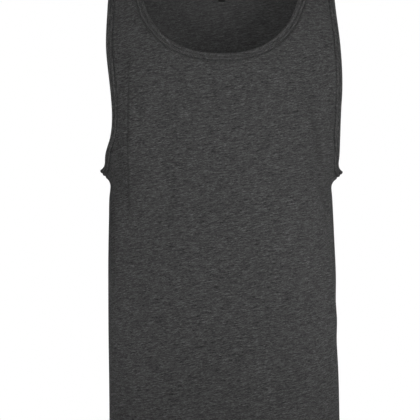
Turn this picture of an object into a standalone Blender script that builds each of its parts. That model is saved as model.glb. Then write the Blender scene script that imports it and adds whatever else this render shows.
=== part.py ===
"""Sleeveless tank top, filled out as it is worn, with nobody in it.

Metres, +Z up, the front of the garment towards -Y. The origin lies midway between
the shoulder seams, at the mean height of the straps that a wearer's shoulders carry.
Left is -X and right is +X, as seen by someone who faces the garment.

The garment hangs on a general figure: level sections, worked out from a short table of
half widths and depths, close over the shoulders in a round crest. The neck and the
armholes are curves drawn on that surface. Each panel is the cloth between those curves,
and each binding is a band that follows its curve all the way round.
"""

import bpy
import numpy as np

# Heights, in metres from the origin
SHOULDER = 0.008  # neck ends of the shoulder seams
CHEST = -0.265  # fullest height of the front
BLADES = -0.205  # fullest height of the back
UNDERARM = -0.342  # lowest point of the armhole on the right
UNDERARM_LEFT = -0.3397  # and on the left, which hangs a little higher
HEM = -0.790

# Cloth
WALL = 0.0016
SEAM = 0.0003  # gap between sewn pieces
HEM_TURN = 0.022  # height of the turned-up hem
HEM_WALL = 0.0010  # what the turned-up layer adds inside
BAND = 0.013  # finished width of the bindings
BAND_WALL = 0.0026
BAND_LIP = 0.0012  # width of the rounded edge of a binding

# Neck
NECK_LEFT = 0.1398  # from the middle to the shoulder seam
NECK_RIGHT = 0.1335
NECK_LEFT_POWER = 2.40  # 2 would be a quarter of an ellipse
NECK_RIGHT_POWER = 2.36
NECK_FRONT = 0.1575  # drop from the shoulder seams to the lowest point
NECK_BACK = 0.024

# Shoulders
SHOULDER_SLOPE = 0.36  # fall towards the arm, metre per metre
SLOPE_FADES = -0.17  # height where that fall has died out
SLOPE_FROM = 0.137  # distance from the middle where it starts
STRAP_DEPTH = 0.75  # depth of the straps, as a share of the depth in the middle

# Armholes
ARMHOLE_ROUND = 0.115  # height over which the foot of an armhole curves in
ARMHOLE_POWER = 2.3
BEAK = 0.0135  # how far the seam pushes the foot of an armhole out
BEAK_SPREAD = 0.034
BEAK_ABOVE = 0.038
BEAK_BELOW = 0.0145

# Label, sewn in under the back of the neck binding
LABEL_WIDTH = 0.012
LABEL_LENGTH = 0.017
LABEL_WALL = 0.0010
LABEL_CLEAR = 0.0012  # it hangs this far inside the back
LABEL_ROWS = 4
LABEL_COLUMNS = 3

# Level sections of the figure. Above the underarm the sides are open, and left and right
# give the width that the cloth would have if it closed there.
SECTION_POWER = 2.35  # 2 would be an ellipse
RING_COLUMNS = ("height", "left", "right", "front", "back")
RINGS = (
    (-0.790, 0.1877, 0.1971, 0.121, 0.110),
    (-0.690, 0.1893, 0.1955, 0.125, 0.111),
    (-0.600, 0.1911, 0.1912, 0.129, 0.112),
    (-0.500, 0.1921, 0.1922, 0.133, 0.114),
    (-0.420, 0.1931, 0.1903, 0.135, 0.117),
    (-0.385, 0.1925, 0.1885, 0.136, 0.118),
    (-0.365, 0.1905, 0.1870, 0.136, 0.119),
    (-0.342, 0.1945, 0.1936, 0.136, 0.121),
    (-0.315, 0.2074, 0.2096, 0.136, 0.122),
    (-0.285, 0.2092, 0.2218, 0.136, 0.123),
    (-0.220, 0.2165, 0.2332, 0.136, 0.125),
    (-0.130, 0.2280, 0.2315, 0.136, 0.125),
    (-0.060, 0.2260, 0.2240, 0.136, 0.125),
    (SHOULDER, 0.2195, 0.2150, 0.136, 0.125),
)

# Distance along the cloth from the side line to the edge of the armhole, before its foot
# curves in.
INSET_COLUMNS = ("height", "front", "back")
INSETS = (
    (UNDERARM, 0.082, 0.088),
    (-0.260, 0.090, 0.098),
    (-0.160, 0.086, 0.098),
    (-0.060, 0.066, 0.078),
    (SHOULDER, 0.0375, 0.0375),
)

# Largest folds: straight down the cloth or leaning, raised if high is above 0.
FOLD_COLUMNS = (
    "panel", "top_across", "top_height", "foot_across", "foot_height", "width", "high",
)
FOLDS = (
    ("front", -0.152, -0.100, -0.160, -0.440, 0.032, 0.0070),
    ("front", -0.212, -0.360, -0.216, -0.790, 0.038, 0.0065),
    ("front", 0.124, -0.170, 0.214, -0.440, 0.010, -0.0050),
    ("front", 0.156, -0.375, 0.226, -0.640, 0.012, 0.0040),
    ("front", 0.212, -0.400, 0.228, -0.790, 0.038, 0.0055),
    ("front", -0.070, -0.520, -0.060, -0.790, 0.040, -0.0025),
    ("front", 0.075, -0.560, 0.080, -0.790, 0.038, -0.0020),
    ("back", -0.130, -0.200, -0.120, -0.790, 0.026, 0.0045),
    ("back", -0.070, -0.260, -0.050, -0.790, 0.028, -0.0040),
    ("back", 0.020, -0.300, 0.030, -0.790, 0.026, 0.0035),
    ("back", 0.110, -0.220, 0.100, -0.790, 0.028, -0.0045),
    ("back", 0.170, -0.360, 0.160, -0.790, 0.024, 0.0040),
)
FOLD_RISES = 0.35  # share of its length in which a fold comes up
FOLD_SINKS = 0.80  # share after which it dies out, unless it runs to the hem

# Fineness of the surface that the outlines are drawn on
FINE_LOW = 240
FINE_ARCH = 160
FINE_TURN = 90
FINE_HALF = 120
CURVE_POINTS = 240
WALK_STEPS = 4
SMALL_STEP = 0.001
TINY = 1e-6  # places closer than this are one place

# Rows and columns of a panel. It is a body below the armholes, a chest between them and
# two straps. Foot columns end under an armhole, and neck columns end at the neck.
FOOT_COLUMNS = 4
STRAP_COLUMNS = 5
NECK_COLUMNS = 12
SIDE_ROWS = 16
FOOT_RISE = 0.0224  # height above the underarm where an armhole turns upwards
SHARP = np.radians(50)  # edges that turn more than this are shaded as corners
PANELS = {
    "front": {
        "facing": -1,
        "neck": NECK_FRONT,
        "strap_from": -0.115,
        "chest_rows": 8,
        "strap_rows": 8,
    },
    "back": {
        "facing": 1,
        "neck": NECK_BACK,
        "strap_from": -0.030,
        "chest_rows": 12,
        "strap_rows": 4,
    },
}

JERSEY = {"name": "jersey", "colour": (0.050, 0.050, 0.051, 1.0), "roughness": 0.9}
BAND_JERSEY = {"name": "binding_jersey", "colour": (0.052, 0.052, 0.053, 1.0), "roughness": 0.9}
SATIN = {"name": "label_satin", "colour": (0.008, 0.008, 0.008, 1.0), "roughness": 0.6}


def column(rows, names, name):
    return np.array([row[names.index(name)] for row in rows])


def through(places, values, at):
    """Reads a smooth curve through values, which stand at rising places."""
    slopes = np.gradient(values, places)
    at = np.clip(at, places[0], places[-1])
    i = np.clip(np.searchsorted(places, at) - 1, 0, len(places) - 2)
    step = places[i + 1] - places[i]
    f = (at - places[i]) / step
    start = values[i] * (1 + 2 * f) + slopes[i] * step * f
    end = values[i + 1] * (3 - 2 * f) - slopes[i + 1] * step * (1 - f)
    return start * (1 - f) ** 2 + end * f**2


def smooth(low, high, value):
    """0 below low, 1 above high, and a soft step between."""
    f = np.clip((value - low) / (high - low), 0, 1)
    return f * f * (3 - 2 * f)


def power(value, exponent):
    return np.sign(value) * np.abs(value) ** exponent


def unit(vectors):
    return vectors / np.linalg.norm(vectors, axis=-1, keepdims=True)


def lengths_along(points):
    """Distance from the first point to each point."""
    steps = np.linalg.norm(np.diff(points, axis=0), axis=1)
    return np.concatenate(([0.0], np.cumsum(steps)))


class Cloth:
    """The front or the back of the figure, closed from side line to side line.

    A place on it is (across, run): across goes from -1 at the left side line to 1 at the
    right one, and run is the distance up the cloth from the hem, along the straps.
    """

    def __init__(self, panel):
        self.panel = panel
        self.plan = PANELS[panel]
        self.facing = self.plan["facing"]
        low = np.linspace(HEM, CHEST, FINE_LOW, endpoint=False)
        arch = np.linspace(0, np.pi / 2, FINE_ARCH)
        self.heights = np.concatenate((low, CHEST + (SHOULDER - CHEST) * np.sin(arch)))
        self.across = np.linspace(-1, 1, 2 * FINE_HALF + 1)
        strap = STRAP_DEPTH * section_depth("front", self.heights)
        self.runs = lengths_along(np.column_stack((strap, self.heights)))
        self.top = self.runs[-1]
        self.points, self.halves = self.sections()
        self.normals = self.square_to(self.points)
        self.points = self.points + self.normals * self.folds()[..., None]
        self.normals = self.square_to(self.points)

    def sections(self):
        """Every section as points at even distances, and its length left and right."""
        turn = np.linspace(-np.pi / 2, np.pi / 2, 2 * FINE_TURN + 1)
        wide = power(np.sin(turn), 2 / SECTION_POWER)
        deep = power(np.cos(turn), 2 / SECTION_POWER)
        left = through_rings("left", self.heights)
        right = through_rings("right", self.heights)
        depth = section_depth(self.panel, self.heights)
        points = np.empty((len(self.heights), len(self.across), 3))
        halves = np.empty((len(self.heights), 2))
        for i, height in enumerate(self.heights):
            x = np.where(turn < 0, left[i], right[i]) * wide
            y = self.facing * depth[i] * deep
            run = lengths_along(np.column_stack((x, y)))
            middle = run[FINE_TURN]
            halves[i] = middle, run[-1] - middle
            even = middle + np.where(self.across < 0, *halves[i]) * self.across
            x = np.interp(even, run, x)
            from_side = np.where(self.across < 0, even, run[-1] - even)
            above = height - np.where(self.across < 0, UNDERARM_LEFT, UNDERARM)
            rise = np.where(above > 0, BEAK_ABOVE, BEAK_BELOW)
            near = np.exp(-((from_side / BEAK_SPREAD) ** 2) - (above / rise) ** 2)
            fall = SHOULDER_SLOPE * smooth(SLOPE_FADES, SHOULDER, height)
            points[i, :, 0] = x + np.sign(x) * BEAK * near
            points[i, :, 1] = np.interp(even, run, y)
            points[i, :, 2] = height - fall * np.clip(np.abs(x) - SLOPE_FROM, 0, None)
        return points, halves

    def square_to(self, points):
        """Outward normals; level at the side lines and upright at the shoulder crest."""
        up = np.gradient(points, self.runs, axis=0)
        aside = np.gradient(points, self.across, axis=1)
        normals = -self.facing * np.cross(aside, up)
        normals[:, (0, -1), 1] = 0
        normals[-1, :, 1] = 0
        return unit(normals)

    def folds(self):
        """How far the folds lift each point of the surface."""
        from_middle = np.where(self.across < 0, self.halves[:, :1], self.halves[:, 1:])
        from_middle = from_middle * self.across
        lift = np.zeros(from_middle.shape)
        for row in FOLDS:
            fold = dict(zip(FOLD_COLUMNS, row))
            if fold["panel"] != self.panel:
                continue
            length = fold["top_height"] - fold["foot_height"]
            along = (fold["top_height"] - self.heights) / length
            lean = fold["foot_across"] - fold["top_across"]
            middle = fold["top_across"] + lean * along
            runs_out = fold["foot_height"] <= HEM
            strength = smooth(0, FOLD_RISES, along)
            if not runs_out:
                strength = strength * (1 - smooth(FOLD_SINKS, 1, along))
            shape = np.exp(-(((from_middle - middle[:, None]) / fold["width"]) ** 2))
            lift += fold["high"] * strength[:, None] * shape
        return lift

    def read(self, grid, across, run):
        """Reads a grid of values between its rows and columns."""
        column_at = (np.clip(across, -1, 1) + 1) * FINE_HALF
        row_at = np.interp(run, self.runs, np.arange(len(self.runs)))
        j = np.clip(column_at.astype(int), 0, 2 * FINE_HALF - 1)
        i = np.clip(row_at.astype(int), 0, len(self.runs) - 2)
        g = (column_at - j)[..., None]
        f = (row_at - i)[..., None]
        low = grid[i, j] * (1 - g) + grid[i, j + 1] * g
        high = grid[i + 1, j] * (1 - g) + grid[i + 1, j + 1] * g
        return low * (1 - f) + high * f

    def place(self, places, out=0.0):
        """Points at places, moved out of the surface by a distance."""
        across, run = places[..., 0], places[..., 1]
        normals = unit(self.read(self.normals, across, run))
        return self.read(self.points, across, run) + normals * np.asarray(out)[..., None]

    def half(self, across, run):
        """Length of the section from the middle to the side line."""
        left = np.interp(run, self.runs, self.halves[:, 0])
        right = np.interp(run, self.runs, self.halves[:, 1])
        return np.where(across < 0, left, right)

    def run_at(self, height):
        return np.interp(height, self.heights, self.runs)

    def across_at(self, x, run):
        """The place across where the surface has this x."""
        found = []
        for one_x, one_run in zip(x, run):
            row = self.read(self.points, self.across, np.full(self.across.shape, one_run))
            found.append(np.interp(one_x, row[:, 0], self.across))
        return np.array(found)

    def neck(self):
        """Places along the neck edge, from the left shoulder seam to the right one."""
        turn = np.linspace(-np.pi / 2, np.pi / 2, CURVE_POINTS + 1)
        half = np.where(turn < 0, NECK_LEFT, NECK_RIGHT)
        exponent = 2 / np.where(turn < 0, NECK_LEFT_POWER, NECK_RIGHT_POWER)
        x = half * power(np.sin(turn), exponent)
        run = self.run_at(SHOULDER - self.plan["neck"] * power(np.cos(turn), exponent))
        return np.column_stack((self.across_at(x, run), run))

    def armhole(self, side):
        """Places along the armhole edge, from the side line up to the shoulder seam."""
        foot = 1 - np.cos(np.linspace(0, np.pi / 2, CURVE_POINTS // 2, endpoint=False))
        lowest = UNDERARM_LEFT if side < 0 else UNDERARM
        rise = np.linspace(lowest + ARMHOLE_ROUND, SHOULDER, CURVE_POINTS // 2)
        height = np.concatenate((lowest + ARMHOLE_ROUND * foot, rise))
        q = 1 - np.clip((height - lowest) / ARMHOLE_ROUND, 0, 1)
        curve_in = (1 - q**ARMHOLE_POWER) ** (1 / ARMHOLE_POWER)
        heights = column(INSETS, INSET_COLUMNS, "height")
        inset = through(heights, column(INSETS, INSET_COLUMNS, self.panel), height) * curve_in
        run = self.run_at(height)
        ends = np.full(run.shape, float(side))
        return np.column_stack((side * (1 - inset / self.half(ends, run)), run))

    def spread(self, places, counts, ends):
        """Even points along a curve, counts[i] steps between the stretches' ends."""
        run = lengths_along(self.place(places))
        stops = [0.0, *(run[end] for end in ends), run[-1]]
        even = [np.linspace(a, b, n, endpoint=False) for a, b, n in zip(stops, stops[1:], counts)]
        even = np.concatenate((*even, [run[-1]]))
        return np.column_stack([np.interp(even, run, places[:, k]) for k in (0, 1)])

    def moved(self, places, distance):
        """A curve moved over the surface, to its right for someone facing the garment."""
        along = np.gradient(self.place(places), axis=0)
        on_seam = places[:, 1] > self.top - TINY
        along[on_seam, 0] = 0
        moved = places.copy()
        for _ in range(WALK_STEPS):
            here = self.place(moved)
            normal = unit(self.read(self.normals, moved[:, 0], moved[:, 1]))
            aside = unit(np.cross(normal, along)) * self.facing * distance / WALK_STEPS
            back = np.array([np.where(moved[:, 0] > 0, -SMALL_STEP, SMALL_STEP), np.zeros(len(moved))]).T
            down = np.array([np.zeros(len(moved)), np.full(len(moved), -SMALL_STEP)]).T
            across_step = (self.place(moved + back) - here) / back[:, :1]
            run_step = (self.place(moved + down) - here) / -SMALL_STEP
            aa = (across_step**2).sum(axis=1)
            rr = (run_step**2).sum(axis=1)
            ar = (across_step * run_step).sum(axis=1)
            a = (across_step * aside).sum(axis=1)
            r = (run_step * aside).sum(axis=1)
            free = aa * rr - ar**2
            moved[:, 0] += (a * rr - r * ar) / free
            moved[:, 1] += (r * aa - a * ar) / free
            moved[:, 0] = np.clip(moved[:, 0], -1, 1)
            moved[:, 1] = np.minimum(moved[:, 1], self.top)
        moved[on_seam, 1] = self.top
        on_side = np.abs(places[:, 0]) >= 1
        moved[on_side, 0] = places[on_side, 0]
        return moved


def through_rings(name, heights):
    return through(
        column(RINGS, RING_COLUMNS, "height"), column(RINGS, RING_COLUMNS, name), heights
    )


def section_depth(panel, heights):
    """Depth of the sections, which close in a round crest at the shoulders."""
    fullest = {"front": CHEST, "back": BLADES}[panel]
    rise = np.clip((heights - fullest) / (SHOULDER - fullest), 0, 1)
    return through_rings(panel, heights) * np.sqrt(1 - rise**2)


def neck_samples(cloth):
    """Points along the neck edge: down a strap, round the foot of the scoop, and up."""
    rows = cloth.plan["strap_rows"]
    quarter = CURVE_POINTS // 4
    return cloth.spread(cloth.neck(), (rows, NECK_COLUMNS, rows), (quarter, 3 * quarter))


def armhole_samples(cloth, side):
    """Points along an armhole edge: its foot, the chest and the strap."""
    places = cloth.armhole(side)
    ends = [
        np.searchsorted(places[:, 1], cloth.run_at(height))
        for height in (UNDERARM + FOOT_RISE, cloth.plan["strap_from"])
    ]
    return cloth.spread(
        places, (FOOT_COLUMNS, cloth.plan["chest_rows"], cloth.plan["strap_rows"]), ends
    )


def coons(left, right, bottom, top):
    """Fills the four sides of a patch with rows and columns of places."""
    u = np.linspace(0, 1, len(bottom))[None, :, None]
    v = np.linspace(0, 1, len(left))[:, None, None]
    sides = left[:, None] * (1 - u) + right[:, None] * u
    ends = bottom[None] * (1 - v) + top[None] * v
    low = bottom[0] * (1 - u) + bottom[-1] * u
    high = top[0] * (1 - u) + top[-1] * u
    return sides + ends - (low * (1 - v) + high * v)


def line(start, end, steps):
    return start + (end - start) * np.linspace(0, 1, steps + 1)[:, None]


def run_together(*curves):
    """One curve of curves that meet end to end."""
    return np.concatenate((curves[0], *(curve[1:] for curve in curves[1:])))


def panel_patches(cloth):
    """The four patches of a panel, each with its lowest row first."""
    rows = cloth.plan["strap_rows"]
    neck = cloth.moved(neck_samples(cloth), BAND + SEAM)
    holes = {}
    for side in (-1, 1):
        holes[side] = cloth.moved(armhole_samples(cloth, side), -side * (BAND + SEAM))
    feet = {side: hole[: FOOT_COLUMNS + 1] for side, hole in holes.items()}
    chest = {side: hole[FOOT_COLUMNS : len(hole) - rows] for side, hole in holes.items()}
    strap = {side: hole[len(hole) - rows - 1 :] for side, hole in holes.items()}
    scoop = neck[rows : len(neck) - rows]
    across_chest = line(feet[-1][-1], feet[1][-1], 2 * STRAP_COLUMNS + NECK_COLUMNS)
    body_top = run_together(feet[-1], across_chest, feet[1][::-1])
    hem = np.column_stack((np.linspace(-1, 1, len(body_top)), np.zeros(len(body_top))))
    left_row = line(chest[-1][-1], scoop[0], STRAP_COLUMNS)
    right_row = line(scoop[-1], chest[1][-1], STRAP_COLUMNS)
    chest_top = run_together(left_row, scoop, right_row)
    return (
        coons(side_seam(-1, feet), side_seam(1, feet), hem, body_top),
        coons(chest[-1], chest[1], across_chest, chest_top),
        strap_patch(strap[-1], neck[rows::-1], left_row),
        strap_patch(neck[len(neck) - rows - 1 :], strap[1], right_row),
    )


def side_seam(side, feet):
    """Places up a side seam, with a narrow row where the turned-up hem ends."""
    step = HEM_TURN + 2 * SEAM
    above = np.linspace(step, feet[side][0, 1], SIDE_ROWS + 1)
    runs = np.concatenate(((0.0, HEM_TURN), above))
    return np.column_stack((side * np.ones(len(runs)), runs))


def strap_patch(left, right, bottom):
    return coons(left, right, bottom, line(left[-1], right[-1], STRAP_COLUMNS))


def join_patches(body, chest, strap_left, strap_right):
    """One list of places and faces. Each patch shares its lowest row with the one below."""
    count = body.shape[1]
    numbers = np.arange(body.size // 2).reshape(-1, count)
    chest_numbers = stacked(numbers[-1, FOOT_COLUMNS : count - FOOT_COLUMNS], chest, numbers.max() + 1)
    left = stacked(chest_numbers[-1, : STRAP_COLUMNS + 1], strap_left, chest_numbers.max() + 1)
    right = stacked(chest_numbers[-1, -STRAP_COLUMNS - 1 :], strap_right, left.max() + 1)
    upper = [patch[1:].reshape(-1, 2) for patch in (chest, strap_left, strap_right)]
    faces = []
    for grid in (numbers, chest_numbers, left, right):
        faces.extend(grid_faces(grid))
    return np.concatenate((body.reshape(-1, 2), *upper)), faces


def stacked(shared_row, patch, first_number):
    """Numbers of a patch's points; its lowest row has numbers already."""
    rows, columns = patch.shape[:2]
    above = first_number + np.arange((rows - 1) * columns).reshape(rows - 1, columns)
    return np.vstack((shared_row, above))


def grid_faces(numbers):
    corners = (numbers[:-1, :-1], numbers[:-1, 1:], numbers[1:, 1:], numbers[1:, :-1])
    return np.stack(corners, axis=-1).reshape(-1, 4).tolist()


def build_solid(name, points, faces, material):
    """Makes an object of a closed surface, with its faces turned outwards."""
    mesh = bpy.data.meshes.new(name)
    mesh.from_pydata(points.tolist(), [], faces)
    mesh.validate()
    piece = bpy.data.objects.new(name, mesh)
    bpy.context.collection.objects.link(piece)
    if signed_volume(points, faces) < 0:
        mesh.flip_normals()
    mesh.materials.append(material)
    mesh.shade_smooth()
    mesh.set_sharp_from_angle(angle=SHARP)
    return piece


def signed_volume(points, faces):
    total = 0.0
    for face in faces:
        a = points[face[0]]
        for b, c in zip(face[1:], face[2:]):
            total += np.dot(a, np.cross(points[b], points[c]))
    return total / 6


def thicken(outer, inner, faces):
    """Closes a wall between two skins that share the same faces."""
    count = len(outer)
    walls = [*faces, *([count + i for i in reversed(face)] for face in faces)]
    edges = {(a, b) for face in faces for a, b in zip(face, face[1:] + face[:1])}
    for a, b in sorted(edges):
        if (b, a) not in edges:
            walls.append([b, a, count + a, count + b])
    return np.concatenate((outer, inner)), walls


def build_panel(cloth, material):
    """A panel: cloth from hem to shoulder seams, with its hem turned up inside."""
    places, faces = join_patches(*panel_patches(cloth))
    seam = SEAM / 2 / cloth.half(places[:, 0], places[:, 1])
    places[:, 0] = np.clip(places[:, 0], seam - 1, 1 - seam)
    places[:, 1] = np.minimum(places[:, 1], cloth.top - SEAM / 2)
    in_hem = places[:, 1] < HEM_TURN + SEAM
    inside = WALL / 2 + np.where(in_hem, HEM_WALL, 0)
    outer = cloth.place(places, WALL / 2)
    inner = cloth.place(places, -inside)
    return build_solid(f"{cloth.panel}_panel", *thicken(outer, inner, faces), material)


def band_rims(cloth, edge, distance):
    """Cross-sections of a binding along one stretch of its edge."""
    lip = cloth.moved(edge, np.sign(distance) * BAND_LIP)
    sewn = cloth.moved(edge, distance)
    half = BAND_WALL / 2
    rows = [
        cloth.place(edge),
        cloth.place(lip, half),
        cloth.place(sewn, half),
        cloth.place(sewn, -half),
        cloth.place(lip, -half),
    ]
    return np.stack(rows, axis=1)


def build_band(name, first, second, material):
    """A closed band: one stretch on the front and one on the back, end to end."""
    rims = np.concatenate((first, second[1:-1]))
    count, size = rims.shape[:2]
    faces = []
    for i in range(count):
        for j in range(size):
            k, m = (i + 1) % count, (j + 1) % size
            faces.append([i * size + j, k * size + j, k * size + m, i * size + m])
    return build_solid(name, rims.reshape(-1, 3), faces, material)


def build_neck_binding(front, back, material):
    first = band_rims(front, neck_samples(front), BAND)
    second = band_rims(back, neck_samples(back), BAND)
    return build_band("neck_binding", first, second[::-1], material)


def build_armhole_binding(name, front, back, side, material):
    first = band_rims(front, armhole_samples(front, side), -side * BAND)
    second = band_rims(back, armhole_samples(back, side), -side * BAND)
    return build_band(name, first, second[::-1], material)


def build_label(back, material):
    """A small bare label on the inside of the back, hanging from the binding."""
    neck = back.moved(neck_samples(back), BAND + SEAM)
    top = neck[len(neck) // 2, 1]
    half = LABEL_WIDTH / 2 / back.half(np.zeros(1), np.array([top]))[0]
    runs = np.linspace(top - LABEL_LENGTH, top, LABEL_ROWS + 1)
    across = np.linspace(-half, half, LABEL_COLUMNS + 1)
    places = np.stack(np.meshgrid(across, runs), axis=-1).reshape(-1, 2)
    faces = grid_faces(np.arange(len(places)).reshape(len(runs), len(across)))
    near = -(WALL / 2 + LABEL_CLEAR)
    outer = back.place(places, near)
    inner = back.place(places, near - LABEL_WALL)
    return build_solid("neck_label", *thicken(outer, inner, faces), material)


def make_material(name, colour, roughness):
    material = bpy.data.materials.new(name)
    material.use_nodes = True
    shader = material.node_tree.nodes["Principled BSDF"]
    shader.inputs["Base Color"].default_value = colour
    shader.inputs["Roughness"].default_value = roughness
    shader.inputs["Metallic"].default_value = 0.0
    material.diffuse_color = colour
    return material


def clear_scene():
    for thing in list(bpy.data.objects):
        bpy.data.objects.remove(thing, do_unlink=True)


def build_garment():
    front = Cloth("front")
    back = Cloth("back")
    jersey = make_material(**JERSEY)
    band = make_material(**BAND_JERSEY)
    satin = make_material(**SATIN)
    build_panel(front, jersey)
    build_panel(back, jersey)
    build_neck_binding(front, back, band)
    build_armhole_binding("armhole_binding_left", front, back, -1, band)
    build_armhole_binding("armhole_binding_right", front, back, 1, band)
    build_label(back, satin)


clear_scene()
build_garment()
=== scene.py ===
"""Looks of a sleeveless tank top in heather jersey, filled out with nobody in it.

Metres, in the CAD's frame: +Z up, the front of the garment towards -Y. Left is -X and
right is +X, as seen by someone who faces the garment. The cloth follows the form of its
CAD solids, whose sizes are repeated here, with finer creases, rolled and stitched edges.
"""

import bpy
import numpy as np
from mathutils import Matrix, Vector
from mathutils.kdtree import KDTree


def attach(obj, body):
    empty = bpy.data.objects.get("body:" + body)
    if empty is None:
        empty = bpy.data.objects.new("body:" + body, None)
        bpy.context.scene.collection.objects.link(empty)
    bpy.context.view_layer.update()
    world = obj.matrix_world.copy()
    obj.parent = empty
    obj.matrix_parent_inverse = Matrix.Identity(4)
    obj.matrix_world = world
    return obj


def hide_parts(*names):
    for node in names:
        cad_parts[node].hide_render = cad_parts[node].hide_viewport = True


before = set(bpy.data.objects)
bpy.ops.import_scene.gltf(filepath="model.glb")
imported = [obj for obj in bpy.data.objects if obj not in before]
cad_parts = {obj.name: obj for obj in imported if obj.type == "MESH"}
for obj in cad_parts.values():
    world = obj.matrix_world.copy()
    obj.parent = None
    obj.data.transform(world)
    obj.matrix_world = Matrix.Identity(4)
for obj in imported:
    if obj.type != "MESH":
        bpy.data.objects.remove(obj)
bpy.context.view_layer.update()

# Heights of the form. All sizes from here to INSETS are the CAD's
SHOULDER = 0.008  # neck ends of the shoulder seams
CHEST = -0.265  # fullest height of the front
BLADES = -0.205  # fullest height of the back
UNDERARM = -0.342  # lowest point of the armhole on the right
UNDERARM_LEFT = -0.3397  # and on the left, which hangs a little higher
HEM = -0.790

# Neck and shoulders
NECK_LEFT = 0.1398  # from the middle to the shoulder seam
NECK_RIGHT = 0.1335
NECK_LEFT_POWER = 2.40  # 2 would be a quarter of an ellipse
NECK_RIGHT_POWER = 2.36
NECK_FRONT = 0.1575  # drop from the shoulder seams to the lowest point
NECK_BACK = 0.024
SHOULDER_SLOPE = 0.36  # fall towards the arm, metre per metre
SLOPE_FADES = -0.17  # height where that fall has died out
SLOPE_FROM = 0.137  # distance from the middle where it starts
STRAP_DEPTH = 0.75  # depth of the straps, as a share of the depth in the middle

# Armholes
ARMHOLE_ROUND = 0.115  # height over which the foot of an armhole curves in
ARMHOLE_POWER = 2.3
BEAK = 0.0135  # how far the seam pushes the foot of an armhole out
BEAK_SPREAD = 0.034
BEAK_ABOVE = 0.038
BEAK_BELOW = 0.0145
BAND = 0.013  # finished width of the bindings

# Level sections of the form, and how far the armholes are cut in
SECTION_POWER = 2.35  # 2 would be an ellipse
RING_COLUMNS = ("height", "left", "right", "front", "back")
RINGS = (
    (-0.790, 0.1877, 0.1971, 0.121, 0.110),
    (-0.690, 0.1893, 0.1955, 0.125, 0.111),
    (-0.600, 0.1911, 0.1912, 0.129, 0.112),
    (-0.500, 0.1921, 0.1922, 0.133, 0.114),
    (-0.420, 0.1931, 0.1903, 0.135, 0.117),
    (-0.385, 0.1925, 0.1885, 0.136, 0.118),
    (-0.365, 0.1905, 0.1870, 0.136, 0.119),
    (-0.342, 0.1945, 0.1936, 0.136, 0.121),
    (-0.315, 0.2074, 0.2096, 0.136, 0.122),
    (-0.285, 0.2092, 0.2218, 0.136, 0.123),
    (-0.220, 0.2165, 0.2332, 0.136, 0.125),
    (-0.130, 0.2280, 0.2315, 0.136, 0.125),
    (-0.060, 0.2260, 0.2240, 0.136, 0.125),
    (SHOULDER, 0.2195, 0.2150, 0.136, 0.125),
)
INSET_COLUMNS = ("height", "front", "back")
INSETS = (
    (UNDERARM, 0.082, 0.088),
    (-0.260, 0.090, 0.098),
    (-0.160, 0.086, 0.098),
    (-0.060, 0.066, 0.078),
    (SHOULDER, 0.0375, 0.0375),
)

# Folds. Each runs from its top to its foot, bowed sideways in between, and is a ridge
# where high is above 0. Its left and right flanks have their own widths, and a flank with
# a crest of 1 falls off at once, where one with 2 is rounded over.
FOLD_COLUMNS = (
    "panel", "top_across", "top_height", "foot_across", "foot_height", "bow",
    "left_width", "left_crest", "right_width", "right_crest", "high",
)
FOLDS = (
    ("front", -0.1520, -0.100, -0.1600, -0.440, 0.000, 0.0240, 1, 0.0500, 2, 0.0085),
    ("front", -0.1560, -0.150, -0.1640, -0.440, 0.000, 0.0034, 2, 0.0020, 2, -0.0024),
    ("front", -0.2085, -0.320, -0.1905, -0.560, 0.004, 0.0036, 2, 0.0140, 2, 0.0056),
    ("front", -0.2090, -0.330, -0.1915, -0.550, 0.0045, 0.0044, 2, 0.0032, 2, -0.0062),
    ("front", -0.2120, -0.360, -0.2160, -0.790, 0.000, 0.0300, 2, 0.0450, 2, 0.0065),
    ("front", -0.1040, -0.230, -0.090, -0.480, 0.000, 0.0110, 2, 0.0110, 2, -0.0036),
    ("front", 0.1240, -0.170, 0.2140, -0.440, -0.004, 0.0100, 2, 0.0065, 2, -0.0065),
    ("front", 0.1620, -0.170, 0.2060, -0.310, 0.000, 0.0065, 2, 0.0060, 2, -0.0040),
    ("front", 0.1560, -0.375, 0.2260, -0.640, 0.004, 0.0110, 2, 0.0100, 2, 0.0045),
    ("front", 0.2120, -0.400, 0.2280, -0.790, 0.000, 0.0450, 2, 0.0300, 2, 0.0055),
    ("front", -0.070, -0.520, -0.060, -0.790, 0.000, 0.0400, 2, 0.0400, 2, -0.0025),
    ("front", 0.075, -0.560, 0.080, -0.790, 0.000, 0.0380, 2, 0.0380, 2, -0.0020),
    ("back", -0.130, -0.200, -0.120, -0.790, 0.000, 0.0260, 2, 0.0260, 2, 0.0045),
    ("back", -0.070, -0.260, -0.050, -0.790, 0.000, 0.0280, 2, 0.0280, 2, -0.0040),
    ("back", 0.020, -0.300, 0.030, -0.790, 0.000, 0.0260, 2, 0.0260, 2, 0.0035),
    ("back", 0.110, -0.220, 0.100, -0.790, 0.000, 0.0280, 2, 0.0280, 2, -0.0045),
    ("back", 0.170, -0.360, 0.160, -0.790, 0.000, 0.0240, 2, 0.0240, 2, 0.0040),
)
FOLD_RISES = 0.35  # share of its length in which a fold comes up
FOLD_SINKS = 0.80  # share after which it dies out, unless it runs to the hem
SEAM_CARRIES = 0.030  # how far a fold of the front goes on into the back

# Cloth
SKIN = 0.0005  # half the thickness of the jersey
SEAM_DIP = 0.0009  # how far the cloth is drawn in along the side and shoulder seams
SEAM_SOFT = 0.0016  # and how far beside them
PANEL_FROM = 0.0143  # a panel's edge lies on its binding's flange, this far from the lip

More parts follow.
